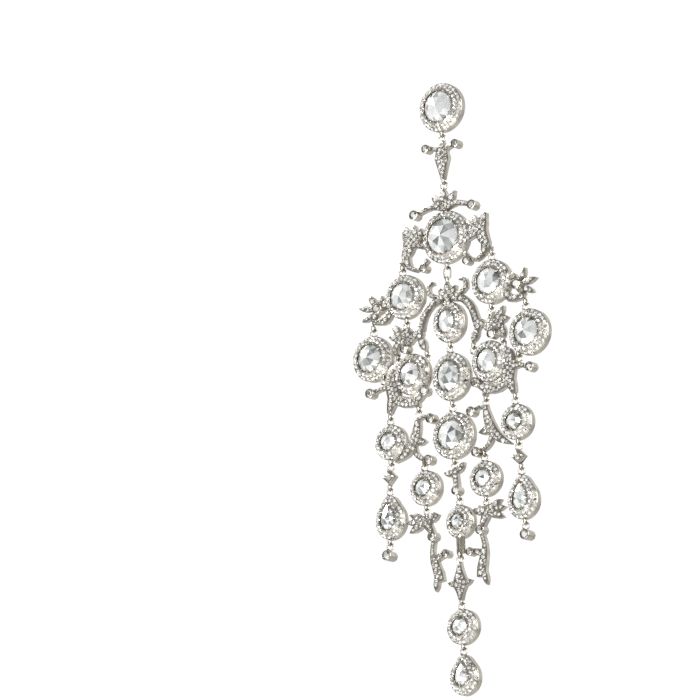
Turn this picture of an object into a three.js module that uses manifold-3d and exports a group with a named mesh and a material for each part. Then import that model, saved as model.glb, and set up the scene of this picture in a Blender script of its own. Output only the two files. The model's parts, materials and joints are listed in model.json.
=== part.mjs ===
// A chandelier earring of pave-set scrolls and rose-cut clusters, in millimetres.
// X is to the wearer's right as seen from the front, Z is up, and the front faces -Y.
// The origin is at the centre of the stud's back face, where the ear post starts.
import * as THREE from "three";
import { mergeVertices } from "three/addons/utils/BufferGeometryUtils.js";
import Module from "manifold-3d";

const wasm = await Module();
wasm.setup();
const { Manifold, Mesh: SolidMesh } = wasm;

// Depths, measured from the plane that every link hangs in. Minus is towards the front.
const SETTING_BACK = 1.2;
const RIM_FRONT = -0.1;
const COLLET_FRONT = -1.45;
const SEAT = -0.8;
const PLATE_BACK = 0.5;
const PLATE_THICK = 1.1;
const BEZEL_BACK = 0.9;
const BEZEL_DEEP = 2.0;
const TIP_DEEP = 2.6;

// A cluster's setting, measured out from the edge of its stone.
const HALO = 1.75;
const LEDGE = 0.35;
const STONE_PLAY = 0.16;
const COLLET_WALL = 0.35;
const STONE_GIRDLE = 0.25;
const STONE_HIGH = 1.45;

// Round bezels, and the ear post.
const BEZEL_R = 0.95;
const POST_R = 0.42;
const POST_LONG = 5.6;
const BACK_PLATE_R = 4.1;

// A link: an eyelet that shows its edge, soldered to the piece above, and a loop that faces
// the front, soldered to the piece below. Each passes through the other with a little play.
const WIRE_R = 0.22;
const EYELET_R = 0.65;
const LOOP_R = 0.75;
const EYELET_UP = 0.45;
const LOOP_DOWN = 0.45;

// How finely round things are cut.
const ROUND_SIDES = 14;
const STONE_SIDES = 10;
const BEZEL_SIDES = 8;
const STEPS_PER_ROW = 2;
const RING_STEPS = 6;
const WIRE_SIDES = 4;

const metal = new THREE.MeshStandardMaterial({ color: 0xd9d6cf, roughness: 0.18, metalness: 1 });
const diamond = new THREE.MeshStandardMaterial({ color: 0xeef3f6, roughness: 0.03, metalness: 0 });

// Solids ------------------------------------------------------------------------------------

// A closed geometry as a solid that can be joined.
function solid(geometry) {
  const bare = geometry.clone();
  bare.deleteAttribute("normal");
  bare.deleteAttribute("uv");
  const merged = mergeVertices(bare, 1e-4);
  return new Manifold(
    new SolidMesh({
      numProp: 3,
      vertProperties: merged.attributes.position.array,
      triVerts: new Uint32Array(merged.index.array),
    }),
  );
}

// Soldered metal: every geometry joined into one.
function soldered(...geometries) {
  const joined = Manifold.union(geometries.flat().map(solid));
  const mesh = joined.getMesh();
  return new THREE.BufferGeometry()
    .setAttribute("position", new THREE.BufferAttribute(mesh.vertProperties, 3))
    .setIndex(new THREE.BufferAttribute(mesh.triVerts, 1));
}

// Outlines of stones: the radius in each direction, where angle 0 is along X and 90 degrees is up.
const oval = (halfWidth, halfHeight) => (angle) =>
  (halfWidth * halfHeight) /
  Math.hypot(halfHeight * Math.cos(angle), halfWidth * Math.sin(angle));

const round = (radius) => () => radius;

function pear(halfWidth, up, down) {
  const below = oval(halfWidth, down);
  const taper = 1.3;
  return (angle) => {
    const sine = Math.sin(angle);
    if (sine <= 0) return below(angle);
    const across = Math.abs(Math.cos(angle)) / halfWidth;
    return (across ** taper + (sine / up) ** taper) ** (-1 / taper);
  };
}

// Turns a profile about the depth axis and lets each ring follow the outline. The profile's
// rows are how far a ring lies outside the outline, and its depth.
function turned(rows, outline, sides) {
  const base = 5;
  const profile = rows.map(([outside, depth]) => new THREE.Vector2(base + outside, depth));
  const geometry = new THREE.LatheGeometry([...profile, profile[0]], sides);
  const place = geometry.attributes.position;
  for (let i = 0; i < place.count; i++) {
    const angle = Math.atan2(place.getZ(i), place.getX(i));
    const outside = Math.hypot(place.getX(i), place.getZ(i)) - base;
    const radius = outline(angle) + outside;
    place.setX(i, radius * Math.cos(angle));
    place.setZ(i, radius * Math.sin(angle));
  }
  return geometry;
}

// The metal of a cluster: an open-backed ring with a plain rim, a sloping halo and a seat.
function setting(outline) {
  return turned(
    [
      [-LEDGE, SETTING_BACK],
      [-LEDGE, SEAT],
      [STONE_PLAY, SEAT],
      [STONE_PLAY, COLLET_FRONT],
      [COLLET_WALL, COLLET_FRONT],
      [HALO, RIM_FRONT],
      [HALO, SETTING_BACK],
    ],
    outline,
    ROUND_SIDES,
  );
}

// A rose-cut stone: a flat back and a faceted dome.
function roseCut(outline) {
  const back = SEAT - STONE_PLAY;
  const rows = [
    [0, back],
    [1, back],
    [1, back - STONE_GIRDLE],
    [0.55, back - 0.75 * STONE_HIGH],
    [0, back - STONE_HIGH],
  ];
  const profile = rows.map(([share, depth]) => new THREE.Vector2(share, depth));
  const geometry = new THREE.LatheGeometry(profile.reverse(), STONE_SIDES);
  const place = geometry.attributes.position;
  for (let i = 0; i < place.count; i++) {
    const angle = Math.atan2(place.getZ(i), place.getX(i));
    const radius = outline(angle) * Math.hypot(place.getX(i), place.getZ(i));
    place.setX(i, radius * Math.cos(angle));
    place.setZ(i, radius * Math.sin(angle));
  }
  return geometry;
}

// A flat plate of metal, from its outline as seen from the front.
function plate(points) {
  const shape = new THREE.Shape(points.map(([x, z]) => new THREE.Vector2(x, z)));
  const geometry = new THREE.ExtrudeGeometry(shape, { depth: PLATE_THICK, bevelEnabled: false });
  return geometry.rotateX(Math.PI / 2).translate(0, PLATE_BACK, 0);
}

// A scroll: a band along a smooth line through rows of x, z and width.
function ribbon(...rows) {
  const line = new THREE.CatmullRomCurve3(rows.map(([x, z]) => new THREE.Vector3(x, z, 0)));
  const near = [];
  const far = [];
  const steps = STEPS_PER_ROW * (rows.length - 1);
  for (let step = 0; step <= steps; step++) {
    const share = step / steps;
    const at = line.getPoint(share);
    const along = line.getTangent(share);
    const row = share * (rows.length - 1);
    const before = Math.min(Math.floor(row), rows.length - 2);
    const half = THREE.MathUtils.lerp(rows[before][2], rows[before + 1][2], row - before) / 2;
    near.push([at.x + along.y * half, at.y - along.x * half]);
    far.unshift([at.x - along.y * half, at.y + along.x * half]);
  }
  return plate([...near, ...far]);
}

// A leaf or petal: a pointed oval from its root to its tip.
function leaf(rootX, rootZ, tipX, tipZ, width) {
  const rows = 4;
  const outline = [];
  for (let step = 0; step < 2 * rows; step++) {
    const along = step <= rows ? step / rows : 2 - step / rows;
    const side = step < rows ? -1 : 1;
    const half = side * 0.5 * width * Math.sin(Math.PI * Math.min(along, 0.999)) ** 0.8;
    const length = Math.hypot(tipX - rootX, tipZ - rootZ);
    const [ux, uz] = [(tipX - rootX) / length, (tipZ - rootZ) / length];
    outline.push([
      rootX + ux * along * length + uz * -half,
      rootZ + uz * along * length + ux * half,
    ]);
  }
  return plate(outline);
}

// A small round tube that holds one diamond.
function bezel(x, z, radius = BEZEL_R, deep = BEZEL_DEEP) {
  const back = BEZEL_BACK + (deep - BEZEL_DEEP);
  return new THREE.CylinderGeometry(radius, radius, deep, BEZEL_SIDES)
    .translate(x, back - deep / 2, z);
}

// The two halves of a link at a point, where size 1 is the common size.
function eyelet(x, z, size = 1) {
  return new THREE.TorusGeometry(EYELET_R * size, WIRE_R * size, WIRE_SIDES, RING_STEPS)
    .rotateY(Math.PI / 2)
    .translate(x, 0, z + EYELET_UP * size);
}

function loop(x, z, size = 1) {
  return new THREE.TorusGeometry(LOOP_R * size, WIRE_R * size, WIRE_SIDES, RING_STEPS)
    .rotateZ(Math.PI / 2)
    .rotateX(Math.PI / 2)
    .translate(x, 0, z - LOOP_DOWN * size);
}

const at = (geometry, x, z) => geometry.clone().translate(x, 0, z);

// Pieces ------------------------------------------------------------------------------------

const earring = new THREE.Group();
earring.position.y = -SETTING_BACK; // the stud's back face is in the plane y = 0

function piece(name, geometry, material, x, z, side = 1, lean = 0) {
  const mesh = new THREE.Mesh(geometry, material);
  mesh.name = name;
  mesh.position.set(side * x, 0, z);
  mesh.rotation.y = THREE.MathUtils.degToRad(lean);
  mesh.scale.x = side;
  earring.add(mesh);
}

const sides = { right: 1, left: -1 };

// One piece on the right and its mirror image on the left, each leaning by some degrees.
function pair(name, geometry, material, x, z, lean = { right: 0, left: 0 }) {
  for (const [word, side] of Object.entries(sides)) {
    piece(`${word}_${name}`, geometry, material, x, z, side, lean[word]);
  }
}

// Stones' outlines, from their half sizes.
const outlines = {
  stud: round(3.05),
  top: round(3.4),
  garland: oval(1.75, 2.25),
  upper: round(2.55),
  outer: oval(2.6, 2.7),
  inner: oval(2.1, 2.3),
  heart: oval(2.35, 2.95),
  middle: round(2.8),
  drop: round(1.68),
  pear: pear(1.6, 3.1, 2.0),
  small: oval(1.3, 1.45),
  lower_drop: round(1.65),
  lower_pear: pear(1.5, 2.6, 1.75),
};

// The stud, with a plain post behind it.
piece("stud_setting", soldered(setting(outlines.stud), eyelet(0, -5.7)), metal, 0, 0);
piece("stud_stone", roseCut(outlines.stud), diamond, 0, 0);
piece(
  "ear_post",
  soldered(
    new THREE.CylinderGeometry(POST_R, POST_R, POST_LONG, 12)
      .translate(0, SETTING_BACK + POST_LONG / 2 + 0.15, 0),
    new THREE.CylinderGeometry(BACK_PLATE_R, BACK_PLATE_R, 0.3, ROUND_SIDES)
      .translate(0, SETTING_BACK + 0.25, 0),
  ),
  metal, 0, 0,
);

// The fleur-de-lis link: a tapering body and two curled arms that end in bezels.
const fleurArm = (side) => [
  ribbon([side * 0.2, -9.3, 1.0], [side * 1.3, -8.2, 0.8], [side * 2.7, -7.9, 0.7]),
  bezel(side * 3.35, -7.85, 0.85),
];
piece(
  "fleur_link",
  soldered(
    loop(0, -5.7),
    ribbon([0, -6.6, 0.7], [0, -8.2, 2.1], [0, -10.2, 3.2], [0, -12.2, 1.9], [0, -14.3, 0.7]),
    fleurArm(1),
    fleurArm(-1),
    eyelet(0, -15.1),
  ),
  metal, 0, 0,
);

// The top frame: a tulip above, the largest cluster, and a scroll on each side.
const topScroll = (side) => [
  leaf(0, -20.2, side * 2.7, -17.0, 1.6),
  ribbon([side * 0.4, -20.1, 1.1], [side * 2.9, -19.4, 1.1], [side * 5.8, -20.2, 0.9]),
  bezel(side * 6.6, -20.5),
  ribbon(
    [side * 9.3, -22.4, 0.7], [side * 8.5, -24.2, 2.3], [side * 8.1, -26.2, 2.8],
    [side * 9.1, -28.4, 1.9], [side * 8.3, -30.7, 1.1],
  ),
  leaf(side * 7.4, -26.9, side * 6.7, -22.4, 2.0),
  leaf(side * 6.4, -27.0, side * 5.3, -23.2, 1.5),
  ribbon(
    [side * 8.6, -26.0, 1.2], [side * 6.4, -26.5, 0.9], [side * 4.6, -26.9, 1.4],
  ),
  ribbon(
    [side * 8.3, -30.5, 1.0], [side * 7.0, -31.3, 0.8], [side * 5.4, -30.8, 0.7],
    [side * 4.2, -29.6, 1.0],
  ),
  bezel(side * 4.9, -31.3, 0.8),
  ribbon([side * 8.9, -28.9, 1.0], [side * 9.7, -29.2, 0.9], [side * 10.2, -29.7, 0.8]),
  eyelet(side * 10.2, -30.8),
];
piece(
  "top_frame",
  soldered(
    loop(0, -15.1),
    leaf(0, -20.2, 0, -15.9, 1.7),
    ribbon([0, -19.4, 1.3], [0, -20.3, 1.0], [0, -21.2, 1.4]),
    at(setting(outlines.top), 0, -25.75),
    topScroll(1),
    topScroll(-1),
    eyelet(0, -31.9),
  ),
  metal, 0, 0,
);
piece("top_stone", roseCut(outlines.top), diamond, 0, -25.75);

// A long jump ring between the top frame and the garland.
const longRing = new THREE.TorusGeometry(LOOP_R, WIRE_R, WIRE_SIDES, 12).rotateX(Math.PI / 2);
const ringPlace = longRing.attributes.position;
const RING_STRETCH = 0.5;
for (let i = 0; i < ringPlace.count; i++) {
  const z = ringPlace.getZ(i);
  if (Math.abs(z) > 1e-3) ringPlace.setZ(i, z + RING_STRETCH * Math.sign(z));
}
piece("center_ring", longRing, metal, 0, -32.85);

// The garland: a palmette, two arcs around an oval cluster, and a trefoil with legs on each side.
const garlandSide = (side) => [
  leaf(side * 0.3, -37.7, side * 2.1, -35.6, 1.3),
  ribbon(
    [side * 0.6, -37.6, 1.0], [side * 2.6, -37.3, 0.9], [side * 4.2, -36.3, 0.9],
    [side * 4.1, -34.8, 0.8], [side * 2.9, -34.5, 0.6],
  ),
  ribbon(
    [side * 1.0, -37.9, 1.3], [side * 3.6, -38.5, 1.5], [side * 5.5, -40.7, 1.5],
    [side * 6.3, -43.3, 1.5],
  ),
  leaf(side * 6.2, -42.6, side * 6.9, -45.3, 1.7),
  ribbon([side * 6.0, -43.2, 1.3], [side * 7.8, -44.1, 1.8], [side * 9.6, -43.9, 1.7]),
  leaf(side * 9.6, -44.8, side * 9.6, -41.9, 2.4),
  leaf(side * 7.4, -44.6, side * 12.0, -44.5, 3.0),
  leaf(side * 10.0, -44.0, side * 13.6, -43.6, 1.9),
  leaf(side * 10.6, -43.8, side * 12.7, -41.3, 1.5),
  ribbon(
    [side * 10.4, -44.8, 1.5], [side * 11.8, -45.4, 1.5], [side * 12.3, -46.4, 1.1],
    [side * 11.9, -47.4, 0.8],
  ),
  bezel(side * 9.9, -46.4),
  leaf(side * 6.7, -44.2, side * 5.3, -47.6, 1.6),
  eyelet(side * 5.3, -48.45),
  eyelet(side * 11.9, -48.2),
  loop(side * 9.6, -41.35),
];
const PALMETTE_EYE_Z = -34.25;
piece(
  "garland_frame",
  soldered(
    eyelet(0, PALMETTE_EYE_Z - EYELET_UP),
    leaf(0, -37.9, 0, -34.6, 1.5),
    garlandSide(1),
    garlandSide(-1),
    at(setting(outlines.garland), 0, -42.55),
    ribbon([0, -37.4, 1.6], [0, -38.2, 1.4], [0, -39.2, 1.6]),
    eyelet(0, -47.45),
  ),
  metal, 0, 0,
);
piece("garland_stone", roseCut(outlines.garland), diamond, 0, -42.55);

// The upper clusters, each with a flower spray soldered to its outer edge.
const UPPER = { x: 9.85, z: -36.1 };
pair(
  "upper_setting",
  soldered(
    at(setting(outlines.upper), 0, 0),
    loop(0.35, 5.3),
    eyelet(-0.25, -5.25),
    ribbon([3.6, -0.6, 1.6], [4.8, -1.2, 1.8], [6.0, -1.6, 1.6]),
    ribbon([3.2, -2.6, 1.3], [4.3, -3.9, 1.6], [6.0, -4.1, 1.2], [7.4, -3.9, 0.9]),
    ribbon([5.8, -1.6, 1.2], [6.6, -2.7, 1.2], [7.3, -3.9, 1.0]),
    bezel(6.0, -1.5, 1.05),
    leaf(6.4, -1.2, 7.9, 1.5, 1.3),
    leaf(6.6, -1.6, 10.4, -0.8, 1.2),
    leaf(6.8, -2.0, 9.7, -3.6, 1.3),
    leaf(5.6, -1.0, 5.0, 1.0, 1.2),
    eyelet(7.45, -5.6),
  ),
  metal, UPPER.x, UPPER.z,
);
pair("upper_stone", roseCut(outlines.upper), diamond, UPPER.x, UPPER.z);

// The outer clusters, held by the spray above and tied to the lower frame.
const OUTER = { x: 17.8, z: -47.15 };
pair(
  "outer_setting",
  soldered(setting(outlines.outer), loop(-0.5, 5.45), eyelet(-2.5, -4.4)),
  metal, OUTER.x, OUTER.z,
);
pair("outer_stone", roseCut(outlines.outer), diamond, OUTER.x, OUTER.z);

// The lower frames: a paved scroll around each inner cluster, with an arm and two legs.
const INNER = { x: 8.75, z: -51.55 };
pair(
  "lower_frame",
  soldered(
    setting(outlines.inner),
    loop(-3.45, 3.1),
    loop(3.15, 3.35),
    loop(6.55, 0),
    ribbon(
      [2.9, 2.2, 1.0], [4.3, 1.0, 2.2], [4.7, -1.2, 2.8], [4.2, -3.6, 3.0],
      [5.0, -5.6, 1.7], [5.4, -7.0, 0.9],
    ),
    ribbon([4.4, -3.9, 2.2], [2.0, -5.2, 2.2], [-0.6, -5.3, 1.9], [-2.6, -4.0, 1.2]),
    ribbon([4.6, -2.2, 1.1], [6.8, -1.7, 1.0], [8.8, -2.4, 0.8]),
    ribbon([-0.7, -5.4, 1.4], [-1.1, -6.1, 1.0], [-1.15, -6.7, 0.8]),
    bezel(9.4, -2.5),
    bezel(-2.95, -3.75),
    eyelet(-1.15, -7.5),
    eyelet(5.4, -8.05),
  ),
  metal, INNER.x, INNER.z,
);
pair("inner_stone", roseCut(outlines.inner), diamond, INNER.x, INNER.z);

// The centre column's two large clusters.
const heartTop = -47.45;
piece(
  "heart_setting",
  soldered(setting(outlines.heart), loop(0, heartTop + 53.25), eyelet(0, -59.0 + 53.25)),
  metal, 0, -53.25,
);
piece("heart_stone", roseCut(outlines.heart), diamond, 0, -53.25);
piece(
  "middle_setting",
  soldered(setting(outlines.middle), loop(0, -59.0 + 64.75), eyelet(0, -70.2 + 64.75)),
  metal, 0, -64.75,
);
piece("middle_stone", roseCut(outlines.middle), diamond, 0, -64.75);

// The outer strands: a round cluster, a square, a pear cluster and a bezel tip. Each row has
// the piece's own place and the place of the link above it.
const strand = {
  drop: { x: 14.25, z: -64.15, link: { x: 14.15, z: -59.6 } },
  square: { x: 14.6, z: -70.95, link: { x: 14.45, z: -68.5 } },
  pear: { x: 14.95, z: -79.3, link: { x: 14.85, z: -73.35 } },
  tip: { x: 15.55, z: -86.15, link: { x: 15.3, z: -84.0 } },
};
const hungBy = ({ x, z, link }) => loop(link.x - x, link.z - z);
const holding = ({ x, z }, { link }) => eyelet(link.x - x, link.z - z);
const { drop, square, pear: pearPlace, tip } = strand;
pair(
  "drop_setting",
  soldered(setting(outlines.drop), hungBy(drop), holding(drop, square)),
  metal, drop.x, drop.z,
);
pair("drop_stone", roseCut(outlines.drop), diamond, drop.x, drop.z);
const SQUARE_HALF = 1.5;
pair(
  "square_link",
  soldered(
    hungBy(square),
    plate([[0, SQUARE_HALF], [-SQUARE_HALF, 0], [0, -SQUARE_HALF], [SQUARE_HALF, 0]]),
    new THREE.CylinderGeometry(1.25, 1.25, 1.6, 4).translate(0, -0.15, 0),
    holding(square, pearPlace),
  ),
  metal, square.x, square.z,
);
pair(
  "pear_setting",
  soldered(setting(outlines.pear), hungBy(pearPlace), holding(pearPlace, tip)),
  metal, pearPlace.x, pearPlace.z,
);
pair("pear_stone", roseCut(outlines.pear), diamond, pearPlace.x, pearPlace.z);
pair("tip_bezel", soldered(hungBy(tip), bezel(0, 0, 1.0, TIP_DEEP)), metal, tip.x, tip.z);

// The S scrolls under the lower frames' inner legs.
const SCROLL = { x: 7.6, z: -59.05 };
pair(
  "s_scroll",
  soldered(
    loop(0, 0),
    ribbon(
      [0, -0.9, 0.8], [0.35, -3.2, 1.7], [1.3, -5.7, 2.1], [3.1, -7.9, 1.6], [5.5, -9.2, 0.3],
    ),
    leaf(1.6, -5.6, -1.7, -6.1, 1.7),
    ribbon([1.3, -6.0, 0.9], [0.9, -8.0, 1.0], [-0.3, -9.2, 0.9], [-1.8, -9.7, 0.7]),
    bezel(-2.2, -9.8),
    ribbon([0.1, -1.6, 0.8], [-1.2, -1.1, 0.7], [-2.4, -1.6, 0.7]),
    bezel(-3.0, -1.8),
    eyelet(-0.8, -10.6),
  ),
  metal, SCROLL.x, SCROLL.z,
);

// The inner drops, and the leafy bows with ribbon tails below them.
const INNER_DROP = { x: 6.75, z: -74.1 };
const BOW_LINK = -78.35;
const SMALL_LINK = 0.85;
pair(
  "inner_drop_setting",
  soldered(
    setting(outlines.lower_drop),
    loop(0.05, -69.65 - INNER_DROP.z),
    eyelet(0, BOW_LINK - INNER_DROP.z, SMALL_LINK),
  ),
  metal, INNER_DROP.x, INNER_DROP.z,
);
pair("inner_drop_stone", roseCut(outlines.lower_drop), diamond, INNER_DROP.x, INNER_DROP.z);
pair(
  "ribbon_bow",
  soldered(
    loop(0, 0, SMALL_LINK),
    leaf(0.3, -2.05, -2.9, -1.6, 2.0),
    leaf(0.2, -1.8, 3.7, -0.3, 1.4),
    leaf(0.2, -2.0, 4.6, -1.8, 1.5),
    leaf(0, -2.1, 4.1, -3.8, 1.6),
    ribbon([0, -1.1, 1.4], [0.1, -2.6, 1.9], [-0.7, -4.3, 1.3], [-1.1, -5.7, 0.9]),
    bezel(-1.1, -5.6),
    ribbon(
      [-1.1, -6.2, 0.8], [-0.5, -8.4, 0.9], [-0.7, -10.4, 1.6], [-1.3, -12.8, 2.0], [-1.4, -14.6, 2.1],
    ),
    leaf(-0.9, -13.2, -0.3, -16.3, 1.2),
    ribbon([-0.7, -10.2, 1.4], [-2.0, -9.7, 1.3], [-3.5, -9.5, 1.1]),
    bezel(-3.6, -9.5, 0.8),
  ),
  metal, INNER_DROP.x, BOW_LINK, { right: 0, left: -5 },
);

// The leaf link and the small cluster that ends in a bail.
const LEAF_LINK = { x: 0, z: -70.2, long: 7.2, lean: -6 };
const SMALL = { x: LEAF_LINK.x + 0.75, z: -81.65 };
piece(
  "leaf_link",
  soldered(
    loop(0, 0),
    leaf(0, -2.2, 2.4, -0.4, 1.4),
    leaf(0, -2.2, -2.4, -1.4, 1.4),
    ribbon([0, -0.9, 1.1], [0, -2.8, 1.2], [0, -5.2, 1.1]),
    bezel(0, -5.5, 0.9),
    eyelet(0, -LEAF_LINK.long),
  ),
  metal, LEAF_LINK.x, LEAF_LINK.z, 1, LEAF_LINK.lean,
);
const PENDANT_X = 0.4;
const bailTube = (x) =>
  new THREE.CylinderGeometry(0.5, 0.5, 3.6, BEZEL_SIDES).rotateX(Math.PI / 2).translate(x, -0.1, -4.4);
piece(
  "small_setting",
  soldered(
    setting(outlines.small),
    loop(0, LEAF_LINK.z - LEAF_LINK.long - SMALL.z),
    bailTube(-0.45),
    bailTube(0.45),
    eyelet(PENDANT_X - SMALL.x, -88.5 - SMALL.z),
  ),
  metal, SMALL.x, SMALL.z,
);
piece("small_stone", roseCut(outlines.small), diamond, SMALL.x, SMALL.z);

// The pendant that swings at the bottom: a lily, a round cluster and a pear cluster.
piece(
  "lily_link",
  soldered(
    loop(0, -88.5),
    ribbon(
      [0, -89.4, 0.7], [0, -91.0, 1.3], [0, -92.6, 2.6],
      [0, -94.0, 3.0], [0, -95.3, 1.6], [0, -96.8, 0.7],
    ),
    leaf(0.2, -93.9, 2.7, -93.2, 1.3),
    leaf(-0.2, -93.9, -2.7, -93.2, 1.3),
    eyelet(0, -97.55),
  ),
  metal, PENDANT_X, 0,
);
const LOWER_DROP_Z = -101.95;
piece(
  "lower_drop_setting",
  soldered(
    setting(outlines.lower_drop),
    loop(0, -97.55 - LOWER_DROP_Z),
    eyelet(0, -106.25 - LOWER_DROP_Z),
  ),
  metal, PENDANT_X, LOWER_DROP_Z,
);
piece("lower_drop_stone", roseCut(outlines.lower_drop), diamond, PENDANT_X, LOWER_DROP_Z);
const LOWER_PEAR_Z = -111.6;
piece(
  "lower_pear_setting",
  soldered(setting(outlines.lower_pear), loop(0, -106.25 - LOWER_PEAR_Z)),
  metal, PENDANT_X, LOWER_PEAR_Z,
);
piece("lower_pear_stone", roseCut(outlines.lower_pear), diamond, PENDANT_X, LOWER_PEAR_Z);

export default earring;
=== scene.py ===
# %% [markdown]
# # A chandelier earring
# Paved diamonds, rose-cut stones and polished white gold, built over a CAD frame.
# The frame already holds every piece at its real size, so each cell below only adds the
# surface that a jeweller would: rounded metal, set stones, beads and prongs.

# %% Load the frame
import json
import math
import random

import bmesh
import bpy
import numpy as np
from mathutils import Matrix, Vector


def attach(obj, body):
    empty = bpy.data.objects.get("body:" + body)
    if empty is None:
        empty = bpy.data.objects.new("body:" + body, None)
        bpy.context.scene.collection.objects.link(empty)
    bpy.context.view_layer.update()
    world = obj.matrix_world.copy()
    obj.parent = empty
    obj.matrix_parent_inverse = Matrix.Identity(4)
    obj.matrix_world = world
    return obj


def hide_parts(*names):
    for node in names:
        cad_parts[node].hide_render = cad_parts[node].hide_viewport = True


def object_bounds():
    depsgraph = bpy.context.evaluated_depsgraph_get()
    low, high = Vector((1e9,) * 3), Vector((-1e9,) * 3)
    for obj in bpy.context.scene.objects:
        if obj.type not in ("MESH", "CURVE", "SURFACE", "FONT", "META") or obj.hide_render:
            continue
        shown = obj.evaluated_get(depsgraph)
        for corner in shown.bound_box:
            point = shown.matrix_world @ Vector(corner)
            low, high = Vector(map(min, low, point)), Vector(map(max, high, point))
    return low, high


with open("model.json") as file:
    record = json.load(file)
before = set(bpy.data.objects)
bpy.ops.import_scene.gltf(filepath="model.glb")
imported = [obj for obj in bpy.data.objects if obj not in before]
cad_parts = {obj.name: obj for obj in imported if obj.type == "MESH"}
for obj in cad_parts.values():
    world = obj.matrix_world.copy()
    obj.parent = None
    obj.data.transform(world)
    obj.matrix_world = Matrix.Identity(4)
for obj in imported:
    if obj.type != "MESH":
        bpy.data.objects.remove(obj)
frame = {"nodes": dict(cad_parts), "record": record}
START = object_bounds()
MM = 0.001
random.seed(11)

record = frame["record"]
nodes = frame["nodes"]
body_of = {n: body for body, names in record["behaviour"]["bodies"].items() for n in names}
slot_of = {s["node"]: s["material_slot"] for s in record["subparts"]}
stones = [n for n in nodes if slot_of[n] == "diamond"]
metals = [n for n in nodes if slot_of[n] == "white_gold"]
print(len(metals), "metal pieces and", len(stones), "large stones")

# %% [markdown]
# ## Materials
# A cut diamond looks bright in one facet and dark in the next. Tracing light through
# hundreds of tiny stones is slow, so that light is painted: each facet carries a painted
# brightness, standing in for its reflections, in a face attribute that one glossy material
# reads as its colour. Large stones also let light through.
# A slow noise keeps two facets with the same painted brightness from looking identical.

# %% Material helpers
def new_material(name):
    material = bpy.data.materials.new(name)
    material.use_nodes = True
    tree = material.node_tree
    return material, tree, tree.nodes["Principled BSDF"]


def noise_between(tree, scale, low, high, detail=4):
    """A noise in Object coordinates, stretched to run from low to high."""
    place = tree.nodes.new("ShaderNodeTexCoord")
    noise = tree.nodes.new("ShaderNodeTexNoise")
    noise.inputs["Scale"].default_value = scale
    noise.inputs["Detail"].default_value = detail
    tree.links.new(place.outputs["Object"], noise.inputs["Vector"])
    spread = tree.nodes.new("ShaderNodeMapRange")
    spread.inputs["From Min"].default_value = 0.3
    spread.inputs["From Max"].default_value = 0.7
    spread.inputs["To Min"].default_value = low
    spread.inputs["To Max"].default_value = high
    tree.links.new(noise.outputs["Fac"], spread.inputs["Value"])
    return spread.outputs["Result"]


def color_ramp(tree, value, stops):
    ramp = tree.nodes.new("ShaderNodeValToRGB")
    while len(ramp.color_ramp.elements) < len(stops):
        ramp.color_ramp.elements.new(0.5)
    for element, (place, color) in zip(ramp.color_ramp.elements, stops):
        element.position = place
        element.color = (*color, 1)
    tree.links.new(value, ramp.inputs["Fac"])
    return ramp.outputs["Color"]


# %% White gold
def white_gold():
    material, tree, shader = new_material("white_gold")
    tone = noise_between(tree, 900, 0, 1)
    warm = color_ramp(tree, tone, [(0, (0.38, 0.35, 0.3)), (1, (0.56, 0.53, 0.47))])
    tree.links.new(warm, shader.inputs["Base Color"])
    shader.inputs["Metallic"].default_value = 1.0
    tree.links.new(noise_between(tree, 2500, 0.14, 0.3), shader.inputs["Roughness"])
    bump = tree.nodes.new("ShaderNodeBump")
    bump.inputs["Strength"].default_value = 0.15
    bump.inputs["Distance"].default_value = 0.00004
    tree.links.new(noise_between(tree, 3200, 0, 1), bump.inputs["Height"])
    tree.links.new(bump.outputs["Normal"], shader.inputs["Normal"])
    return material


# %% Diamond
def diamond(name, dark, middle, light, through):
    material, tree, shader = new_material(name)
    # Painted reflections: each facet's painted brightness, from a face attribute, plus a slow noise picks
    # the stone's colour.
    painted_sparkle = tree.nodes.new("ShaderNodeAttribute")
    painted_sparkle.attribute_name = "painted_sparkle"
    wander = noise_between(tree, 700, -0.12, 0.12)
    total = tree.nodes.new("ShaderNodeMath")
    total.operation = "ADD"
    tree.links.new(painted_sparkle.outputs["Fac"], total.inputs[0])
    tree.links.new(wander, total.inputs[1])
    # The ramp runs from a painted shaded facet (dark) through middle to a painted lit facet (light), and
    # white is a painted highlight.
    color = color_ramp(
        tree, total.outputs["Value"], [(0.1, dark), (0.42, middle), (0.72, light), (1, (1, 1, 1))]
    )
    tree.links.new(color, shader.inputs["Base Color"])
    shader.inputs["Metallic"].default_value = 0.35
    shader.inputs["Roughness"].default_value = 0.05
    shader.inputs["IOR"].default_value = 2.42
    shader.inputs["Transmission Weight"].default_value = through
    return material


GOLD = white_gold()
# Each diamond's three colours are painted facet shade, half light and highlight, not colours the stones
# have.
PAVE = diamond("pave_diamond", (0.06, 0.055, 0.045), (0.5, 0.49, 0.46), (0.93, 0.93, 0.91), 0.0)
ROSE = diamond("rose_diamond", (0.12, 0.135, 0.125), (0.55, 0.585, 0.57), (0.92, 0.95, 0.94), 0.1)
print("materials:", [m.name for m in bpy.data.materials])

# %% [markdown]
# ## Finding where things go
# Nothing below is typed in as a position. A stone's outline is read from its CAD solid, and
# the flat fronts of the scrolls are found by their normals. That way the looks always fit
# the part, even if the part is resized.

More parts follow.
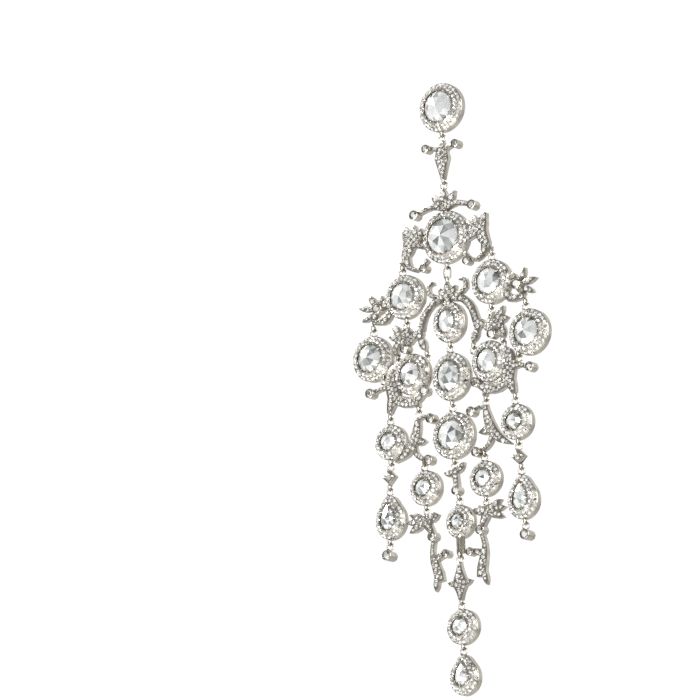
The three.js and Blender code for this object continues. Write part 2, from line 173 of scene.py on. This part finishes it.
# %% Outlines
def outline_of(stone):
    """The centre of a CAD stone's back, and a smooth radius for every angle round it."""
    place = np.unique(np.round([v.co for v in nodes[stone].data.vertices], 7), axis=0)
    back = place[:, 1].max()
    flat = place[place[:, 1] > back - 1e-6][:, [0, 2]]
    middle = (flat.min(0) + flat.max(0)) / 2
    corners = flat[np.hypot(*(flat - middle).T) > 0.45 * np.hypot(*(flat - middle).T).max()]
    angle = np.arctan2(corners[:, 1] - middle[1], corners[:, 0] - middle[0])
    corners = corners[np.argsort(angle)]
    center = true_center(corners)
    angle = np.arctan2(corners[:, 1] - center[1], corners[:, 0] - center[0])
    radius = np.hypot(*(corners - center).T)
    order = np.argsort(angle)
    return Vector((center[0], back, center[1])), smooth_loop(angle[order], radius[order])


def true_center(corners):
    """Lines between opposite corners all cross at the centre, even in a pear."""
    half = len(corners) // 2
    along = corners[half:2 * half] - corners[:half]
    across = along[:, ::-1] * (1, -1)
    return np.linalg.lstsq(across, (across * corners[:half]).sum(1), rcond=None)[0]


def smooth_loop(angle, radius):
    """A periodic curve through radii at sorted angles."""
    wide = np.concatenate([angle - 2 * math.pi, angle, angle + 2 * math.pi])
    reach = np.tile(radius, 3)

    def at(theta):
        theta = (theta + math.pi) % (2 * math.pi) - math.pi
        i = int(np.searchsorted(wide, theta)) - 1
        p0, p1, p2, p3 = reach[i - 1], reach[i], reach[i + 1], reach[i + 2]
        t = (theta - wide[i]) / (wide[i + 1] - wide[i])
        curve = p1 + 0.5 * t * (
            p2 - p0 + t * (2 * p0 - 5 * p1 + 4 * p2 - p3 + t * (3 * (p1 - p2) + p3 - p0))
        )
        return float(curve)

    return at


# %% [markdown]
# ## Rings around an outline
# A cluster's metal is a lathe shape that follows the stone. A spin would only give a round
# ring, so the profile is spun with bmesh first and each vertex is then pushed out to the
# outline, which turns the same ring into an oval or a pear.

# %% Cluster profile
# Rows are how far outside the stone's edge a ring lies, and how far in front of its back, in mm.
CLUSTER = [
    (-0.33, -2.10), (-0.33, -0.08), (0.12, -0.06), (0.10, 0.46), (0.18, 0.54), (0.30, 0.54),
    (0.40, 0.46), (1.62, -0.72), (1.70, -0.72), (1.78, -0.80), (1.79, -0.95), (1.79, -1.25),
    (1.74, -1.33), (1.79, -1.41), (1.79, -2.08), (1.72, -2.17), (-0.25, -2.17),
]
RING_SIDES = 72


def lathe(bm, center, profile, steps, closed):
    """Spins (reach, ahead) rows in mm about the depth axis and returns the new corners."""
    for v in bm.verts:
        v.tag = True
    points = [bm.verts.new(center + Vector((reach, -ahead, 0)) * MM) for reach, ahead in profile]
    following = points[1:] + points[:1] if closed else points[1:]
    edges = [bm.edges.new(pair) for pair in zip(points, following)]
    bmesh.ops.spin(
        bm, geom=points + edges, cent=center, axis=(0, 1, 0),
        angle=math.tau, steps=steps, use_merge=True,
    )
    return [v for v in bm.verts if not v.tag]


# A ring is spun this far out, in mm, and each corner is then drawn in to the outline.
SPIN_REACH = 10


def ring_around(bm, center, radius_at):
    """A cluster's ring, fitted to its stone's outline."""
    rows = [(SPIN_REACH + out, ahead) for out, ahead in CLUSTER]
    for v in lathe(bm, center, rows, RING_SIDES, True):
        flat = Vector((v.co.x - center.x, 0, v.co.z - center.z))
        theta = math.atan2(flat.z, flat.x)
        flat *= (radius_at(theta) + flat.length - SPIN_REACH * MM) / flat.length
        v.co = Vector((center.x, v.co.y, center.z)) + flat


# %% [markdown]
# ## Little stones
# One paving stone is only a table, a ring of crown facets and a flat base: its point is
# buried in the metal. Each is turned a little at random, because a setter never lines the
# facets up, and each facet also carries a random painted brightness for its reflections;
# the real tilts and the painted brightness together make a paved surface glitter.

# %% Brilliants, beads and prongs
def facing(normal, spin=0.0):
    """A rotation that takes +Z to the normal."""
    return normal.to_track_quat("Z", "Y").to_matrix().to_4x4() @ Matrix.Rotation(spin, 4, "Z")


# Paints each facet a random brightness, which stands in for the reflections of a real stone.
def add_painted_sparkle(bm, faces, low, high):
    layer = bm.faces.layers.float["painted_sparkle"]
    for face in faces:
        face[layer] = random.uniform(low, high)


def brilliant(bm, place, normal, radius, high=0.5):
    """Eight crown facets between a wide girdle and a small table."""
    tilt = Vector([random.uniform(-0.09, 0.09) for _ in range(3)])
    turn = Matrix.Translation(place) @ facing((normal + tilt).normalized(), random.uniform(0, 6))
    sunk = 0.15
    lift = Matrix.Translation((0, 0, (high - sunk) / 2 * radius))
    cone = bmesh.ops.create_cone(
        bm, cap_ends=True, segments=8, radius1=radius, radius2=0.55 * radius,
        depth=(high + sunk) * radius, matrix=turn @ lift,
    )
    add_painted_sparkle(bm, list(dict.fromkeys(f for v in cone["verts"] for f in v.link_faces)), 0.12, 1.12)


def bead(bm, place, radius):
    turn = Matrix.Translation(place)
    bmesh.ops.create_icosphere(bm, subdivisions=1, radius=radius, matrix=turn)


def prong(bm, place, inward, radius):
    """A claw: a ball stretched over the stone's edge."""
    turn = Matrix.Translation(place) @ facing(inward) @ Matrix.Diagonal((1, 1, 1.9, 1))
    bmesh.ops.create_uvsphere(bm, u_segments=8, v_segments=5, radius=radius, matrix=turn)


# %% [markdown]
# ## Paving a cluster
# The halo slopes at about 45 degrees and carries two rows of stones. Walking round the
# offset outline in equal steps keeps the gaps even on ovals and pears as well as on rounds.

# %% Two rows round a stone
# Rows are how far outside the stone, how far in front of its back, and the stones' radius, in mm.
ROWS = [(0.74, 0.13, 0.41), (1.34, -0.44, 0.45)]
OUTWARD = Vector((0.69, -0.72))


def walk(center, radius_at, out, ahead, spacing, phase=0.0):
    """Equally spaced (place, outward direction) pairs round an outline."""
    many = 360
    path = []
    for k in range(many):
        theta = math.tau * k / many
        r = radius_at(theta) + out * MM
        path.append(Vector((center.x + r * math.cos(theta), center.y - ahead * MM,
                            center.z + r * math.sin(theta))))
    lengths = [(path[(k + 1) % many] - path[k]).length for k in range(many)]
    total = sum(lengths)
    count = max(6, round(total / spacing))
    run = np.cumsum([0] + lengths)
    for k in range(count):
        want = total * ((k + phase) / count % 1)
        i = min(int(np.searchsorted(run, want, side="right")) - 1, many - 1)
        along = (path[(i + 1) % many] - path[i]).normalized()
        yield path[i], Vector((along.z, 0, -along.x))


def pave_cluster(gems, metal, center, radius_at):
    for row, (out, ahead, radius) in enumerate(ROWS):
        radius *= MM
        for place, outward in walk(center, radius_at, out, ahead, 2.06 * radius, row / 2):
            normal = outward * OUTWARD.x + Vector((0, OUTWARD.y, 0))
            brilliant(gems, place, normal, radius)
    for place, _ in walk(center, radius_at, 1.04, -0.14, 0.48 * MM):
        bead(metal, place, 0.11 * MM)
    for place, outward in walk(center, radius_at, 0.12, 0.55, 1.6 * MM):
        prong(metal, place, (-outward + Vector((0, -0.35, 0))).normalized(), 0.15 * MM)


# %% [markdown]
# ## Paving the scrolls
# A scroll's flat front is any face that looks straight forward. Circles are packed in it,
# biggest first, from the middle of the band outward, as a setter picks larger stones for
# the wide parts. A second, higher level of flat faces is the mouth of each round bezel.

# %% Flat fronts
def fronts(node):
    """{depth: [polygons]} of a node's forward-facing flat faces, as 2-D corner arrays."""
    levels = {}
    mesh = nodes[node].data
    for face in mesh.polygons:
        if face.normal.y < -0.999:
            points = [mesh.vertices[i].co for i in face.vertices]
            key = round(sum(p.y for p in points) / len(points) / MM, 2)
            levels.setdefault(key, []).append([(p.x, p.z) for p in points])
    return levels


def border(polygons):
    """The outer edges of a set of faces: those that only one face uses."""
    seen = {}
    for points in polygons:
        for a, b in zip(points, points[1:] + points[:1]):
            key = tuple(sorted((tuple(np.round(np.array(a) / MM, 3)), tuple(np.round(np.array(b) / MM, 3)))))
            seen[key] = seen.get(key, 0) + 1
    return np.array([edge for edge, uses in seen.items() if uses == 1])


def spots_inside(polygons, pitch):
    """Grid points in mm that fall in any of the triangles."""
    found = set()
    for points in polygons:
        corners = np.array(points) / MM
        for k in range(1, len(corners) - 1):
            a, b, c = corners[0], corners[k], corners[k + 1]
            low = np.floor(np.minimum(np.minimum(a, b), c) / pitch).astype(int)
            high = np.ceil(np.maximum(np.maximum(a, b), c) / pitch).astype(int)
            m = np.array([b - a, c - a]).T
            if abs(np.linalg.det(m)) < 1e-7:
                continue
            inverse = np.linalg.inv(m)
            for i in range(low[0], high[0] + 1):
                for j in range(low[1], high[1] + 1):
                    u, v = inverse @ (np.array([i, j]) * pitch - a)
                    if u >= 0 and v >= 0 and u + v <= 1:
                        found.add((i, j))
    return np.array(sorted(found)) * pitch


def clearance(spots, edges):
    """How far each spot is from the nearest border edge."""
    a, b = edges[:, 0], edges[:, 1]
    d = b - a
    t = np.einsum("sed,ed->se", spots[:, None] - a, d) / np.maximum((d * d).sum(1), 1e-9)
    nearest = a + np.clip(t, 0, 1)[..., None] * d
    return np.sqrt(((spots[:, None] - nearest) ** 2).sum(2)).min(1)


# %% Packing
LARGEST = 0.56
SMALLEST = 0.25


def pack_stones(polygons):
    """(x, z, radius) in mm of stones that fill a flat front without touching."""
    spots = spots_inside(polygons, 0.13)
    if not len(spots):
        return []
    room = np.minimum(clearance(spots, border(polygons)) - 0.1, LARGEST)
    chosen = []
    for i in np.lexsort((spots[:, 0], -spots[:, 1], -np.round(room, 1))):
        radius = room[i]
        if radius < SMALLEST:
            break
        if chosen:
            have = np.array(chosen)
            gap = np.hypot(have[:, 0] - spots[i, 0], have[:, 1] - spots[i, 1]) - have[:, 2]
            radius = min(radius, gap.min() - 0.04)
            if radius < min(0.8 * room[i], 0.36):
                continue
        chosen.append((spots[i, 0], spots[i, 1], radius))
    return chosen


def pave_scroll(gems, metal, depth, polygons):
    for x, z, radius in pack_stones(polygons):
        place = Vector((x * MM, depth * MM, z * MM))
        brilliant(gems, place, Vector((0, -1, 0)), radius * MM)
        for turn in (0.8, 2.4, 3.9, 5.5):
            edge = Vector((math.cos(turn), 0, math.sin(turn))) * (radius * 1.06 * MM)
            bead(metal, place + edge, 0.1 * MM)


def islands(polygons):
    """Groups of faces that share corners, as one array of corners each."""
    groups = []
    for points in polygons:
        keys = {tuple(np.round(np.array(p) / MM, 2)) for p in points}
        touching = [g for g in groups if g & keys]
        groups = [g for g in groups if not g & keys] + [keys.union(*touching)]
    return [np.array(sorted(g)) for g in groups]


def fill_bezels(gems, metal, depth, polygons):
    for corners in islands(polygons):
        middle = (corners.min(0) + corners.max(0)) / 2
        radius = float(np.hypot(*(corners - middle).T).max())
        if radius < 0.4:
            continue
        place = Vector((middle[0] * MM, depth * MM, middle[1] * MM))
        if len(corners) > 5:
            brilliant(gems, place, Vector((0, -1, 0)), 0.78 * radius * MM, 0.4)
            collar(metal, place, radius)
        else:
            brilliant(gems, place, Vector((0, -1, 0)), 0.62 * radius * MM, 0.4)
            for x, z in corners:
                inward = Vector((middle[0] - x, 0, middle[1] - z))
                prong(metal, Vector((x, depth, z)) * MM + inward * 0.2 * MM, inward, 0.2 * MM)


# Rows are a share of the mouth's radius and how far in front of the mouth, in mm.
COLLAR = [(0.80, 0.02), (0.84, 0.14), (0.93, 0.16), (1.0, 0.08), (1.02, -0.5), (1.02, -1.75)]


def collar(bm, place, radius):
    """A rounded rim round a bezel's mouth and a smooth wall behind it."""
    lathe(bm, place, [(share * radius, ahead) for share, ahead in COLLAR], 20, False)


# %% [markdown]
# ## Putting each metal piece together
# The CAD solid is copied, its doubled corners are merged, and a bevel rounds every sharp
# edge so that light catches it. Smooth cluster rings are laid over the faceted ones. The
# stones go in a piece of their own, because they take a different finish.

# %% Build pieces
def finish_piece(name, bm, material, body, smooth):
    bmesh.ops.recalc_face_normals(bm, faces=bm.faces)
    for face in bm.faces:
        face.smooth = smooth
    for edge in bm.edges:
        edge.smooth = len(edge.link_faces) == 2 and edge.calc_face_angle() < 0.62
    mesh = bpy.data.meshes.new(name)
    bm.to_mesh(mesh)
    bm.free()
    mesh.materials.append(material)
    piece = bpy.data.objects.new(name, mesh)
    bpy.context.scene.collection.objects.link(piece)
    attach(piece, body)
    return piece


def cast_copy(node):
    """The CAD solid as one clean, softly bevelled mesh."""
    bm = bmesh.new()
    bm.from_mesh(nodes[node].data)
    bmesh.ops.remove_doubles(bm, verts=bm.verts, dist=1e-6)
    bmesh.ops.dissolve_limit(bm, angle_limit=math.radians(2), verts=bm.verts, edges=bm.edges)
    sharp = [e for e in bm.edges if len(e.link_faces) == 2 and e.calc_face_angle() > 0.6]
    bmesh.ops.bevel(
        bm, geom=sharp, offset=0.07 * MM, segments=2, profile=0.5, affect="EDGES",
        clamp_overlap=True, material=-1,
    )
    return bm


def holder(stone):
    """The metal that a stone is set in."""
    stem = stone.removesuffix("_stone")
    options = (stem + "_setting", stem + "_frame", stem.replace("inner", "lower") + "_frame")
    return next(name for name in options if name in nodes)


# Depths in mm of the scrolls' fronts, and of the bezels' mouths, which stand a little higher.
SCROLL_DEPTHS = (-1.9, -1.7)
MOUTH_DEPTHS = (-2.45, -2.05)

outlines = {stone: outline_of(stone) for stone in stones}
held = {holder(stone): outlines[stone] for stone in stones}
gem_faces = 0
for node in metals:
    metal, gems = cast_copy(node), bmesh.new()
    # This layer holds each little stone's painted facet brightness, which stands in for its reflections.
    gems.faces.layers.float.new("painted_sparkle")
    if node in held:
        ring_around(metal, *held[node])
        pave_cluster(gems, metal, *held[node])
    for depth, polygons in fronts(node).items():
        if SCROLL_DEPTHS[0] < depth < SCROLL_DEPTHS[1]:
            pave_scroll(gems, metal, depth, polygons)
        elif MOUTH_DEPTHS[0] < depth < MOUTH_DEPTHS[1]:
            fill_bezels(gems, metal, depth, polygons)
    gem_faces += len(gems.faces)
    piece = finish_piece(node + "_metal", metal, GOLD, body_of[node], True)
    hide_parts(node)
    if len(gems.faces):
        finish_piece(node + "_pave", gems, PAVE, body_of[node], False)
    else:
        gems.free()
print(len(held), "clusters;", gem_faces // 10, "little stones")

# %% [markdown]
# ## Rose cuts
# A rose cut has a flat back and a dome of facets that meet in a point. Rings of points at
# the right heights are enough: a convex hull joins them into exactly those facets. Facets
# stay flat shaded, because a smooth diamond reads as a drop of water.

# %% Large stones
# Rows are a share of the outline, how far in front of the back in mm, and how many points.
ROSE_ROWS = [(0.96, 0.0, 16, 0.0), (1.0, 0.26, 16, 0.0), (0.62, 1.0, 8, 0.5)]
ROSE_TOP = 1.47
# Ranges of painted facet brightness, which stand in for the reflections of a real stone; each facet takes
# one at random.
PAINTED_SPARKLE_RANGES = [(0.15, 0.45), (0.5, 0.8), (0.8, 1.0), (0.9, 1.0)]


def rose_cut(center, radius_at):
    bm = bmesh.new()
    for share, ahead, count, phase in ROSE_ROWS:
        for k in range(count):
            theta = math.tau * (k + phase) / count + math.pi / 2
            reach = radius_at(theta) * share
            bm.verts.new(center + Vector((reach * math.cos(theta), -ahead * MM,
                                          reach * math.sin(theta))))
    bm.verts.new(center + Vector((0, -ROSE_TOP * MM, 0)))
    bmesh.ops.convex_hull(bm, input=bm.verts)
    loose = [v for v in bm.verts if not v.link_faces]
    bmesh.ops.delete(bm, geom=loose, context="VERTS")
    # Each facet gets a painted brightness in place of its reflections; the flat back, facing away, is
    # painted a steady 0.8.
    layer = bm.faces.layers.float.new("painted_sparkle")
    bm.normal_update()
    for face in bm.faces:
        low, high = random.choice(PAINTED_SPARKLE_RANGES)
        face[layer] = 0.8 if face.normal.y > 0.9 else random.uniform(low, high)
    return bm


for stone in stones:
    piece = finish_piece(stone + "_rose", rose_cut(*outlines[stone]), ROSE, body_of[stone], False)
    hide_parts(stone)
print(len(stones), "rose cuts")

# %% [markdown]
# ## Studio
# Jewellery is lit by what it reflects. The sky is white behind the earring and greyer in
# front of it, so polished metal has something dark to mirror, and two soft boxes add the
# bright edges. A pale floor lies well below the earring, which hangs in the air.

# %% Light and floor
world = bpy.data.worlds.new("studio")
bpy.context.scene.world = world
world.use_nodes = True
tree = world.node_tree
tree.nodes["Background"].inputs["Color"].default_value = (1, 1, 1, 1)
direction = tree.nodes.new("ShaderNodeTexCoord")
split = tree.nodes.new("ShaderNodeSeparateXYZ")
tree.links.new(direction.outputs["Generated"], split.inputs["Vector"])
depth = tree.nodes.new("ShaderNodeMapRange")
depth.inputs["From Min"].default_value = -0.6
depth.inputs["From Max"].default_value = 0.55
depth.inputs["To Min"].default_value = 0.32
depth.inputs["To Max"].default_value = 1.05
tree.links.new(split.outputs["Y"], depth.inputs["Value"])
tree.links.new(depth.outputs["Result"], tree.nodes["Background"].inputs["Strength"])


def soft_box(name, place, target, size, watts):
    light = bpy.data.lights.new(name, "AREA")
    light.shape = "RECTANGLE"
    light.size, light.size_y = size
    light.energy = watts
    box = bpy.data.objects.new(name, light)
    box.location = place
    box.rotation_euler = (Vector(target) - Vector(place)).to_track_quat("-Z", "Y").to_euler()
    bpy.context.scene.collection.objects.link(box)


low, high = START
middle = (low + high) / 2
soft_box("key", middle + Vector((-0.52, -0.30, 0.46)), middle, (0.30, 0.30), 5.4)
soft_box("side", middle + Vector((0.50, -0.25, 0.10)), middle, (0.10, 0.45), 1.1)
soft_box("low", middle + Vector((0.05, -0.35, -0.28)), middle, (0.40, 0.08), 0.8)

bpy.ops.mesh.primitive_plane_add(size=6, location=(0, 0, low.z - 0.26))
floor = bpy.context.object
floor.name = "floor"
material, tree, shader = new_material("pale_floor")
pale = color_ramp(tree, noise_between(tree, 3, 0, 1), [(0, (0.86, 0.86, 0.85)), (1, (0.9, 0.9, 0.89))])
tree.links.new(pale, shader.inputs["Base Color"])
shader.inputs["Roughness"].default_value = 0.9
floor.data.materials.append(material)

# %% [markdown]
# ## Camera
# A long lens keeps the earring's proportions. It looks a little upward, from the wearer's
# right, and it is rolled by two degrees, so the strands hang just off vertical.

# %% Place the camera
AROUND, ABOVE, ROLL = math.radians(33), math.radians(-12.5), math.radians(2)
FRAME_WIDE = 135.66 * MM
AWAY = 1.2

back = Vector((math.sin(AROUND) * math.cos(ABOVE), -math.cos(AROUND) * math.cos(ABOVE), math.sin(ABOVE)))
across = Vector((math.cos(AROUND), math.sin(AROUND), 0))
upward = back.cross(across)
right = across * math.cos(ROLL) - upward * math.sin(ROLL)
up = across * math.sin(ROLL) + upward * math.cos(ROLL)
aim = Vector((low.x - 0.9 * MM, -1.2 * MM, (low.z + high.z) / 2 + 10.6 * MM))

camera = bpy.data.objects.new("camera", bpy.data.cameras.new("camera"))
bpy.context.scene.collection.objects.link(camera)
camera.matrix_world = Matrix.Translation(aim + back * AWAY) @ Matrix((right, up, back)).transposed().to_4x4()
camera.data.sensor_width = 36
camera.data.lens = 36 * AWAY / FRAME_WIDE
bpy.context.scene.camera = camera
bpy.context.scene.view_settings.view_transform = "Standard"
